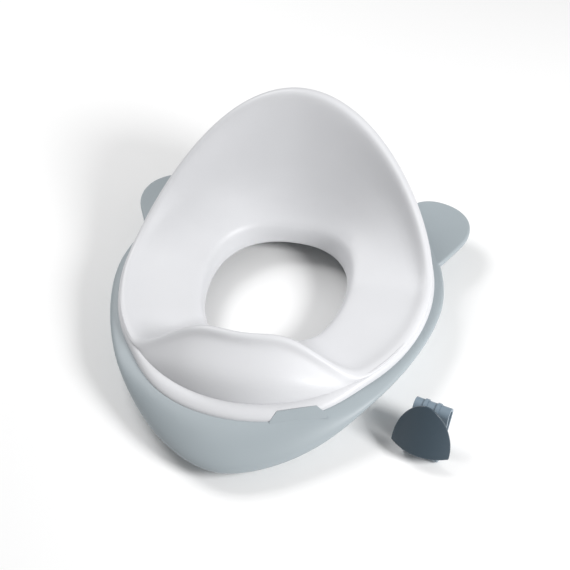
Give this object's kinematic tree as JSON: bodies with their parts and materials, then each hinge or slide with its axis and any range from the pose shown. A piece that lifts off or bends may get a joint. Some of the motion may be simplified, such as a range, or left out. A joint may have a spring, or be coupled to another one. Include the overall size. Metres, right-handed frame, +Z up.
{
  "type": "toilet trainer seat with storage hook",
  "caption": "Child's toilet trainer seat: white dished seat shell with a splash guard and high back on a blue-grey base with ear handles, and a loose slate storage hook.",
  "frame": {"origin": "floor plane, on the vertical axis through the middle of the round base collar", "axes": "+Z up, the child faces -Y, +X is the child's left side"},
  "size_m": [0.3586, 0.3725, 0.1628],
  "materials": {
    "base_blue_grey": "satin moulded polypropylene",
    "seat_white": "satin moulded polypropylene",
    "pad_rubber": "soft matte",
    "hook_strap_slate": "satin moulded plastic",
    "hook_shield_slate": "satin moulded plastic"
  },
  "bodies": {
    "base": {"base_shell": "base_blue_grey", "grip_pad_front_right": "pad_rubber", "grip_pad_back_right": "pad_rubber", "grip_pad_back_left": "pad_rubber", "grip_pad_front_left": "pad_rubber"},
    "seat": {"seat_shell": "seat_white"},
    "hook": {"hook_strap": "hook_strap_slate", "hook_shield": "hook_shield_slate"}
  },
  "joints": [
    {"name": "seat_lift", "type": "slide", "parent": "base", "child": "seat", "axis": [0, 0, 1], "range_m": [0, 0.04]},
    {"name": "hook_lift", "type": "slide", "parent": "base", "child": "hook", "axis": [0, 0, 1], "range_m": [0, 0.06]}
  ]
}
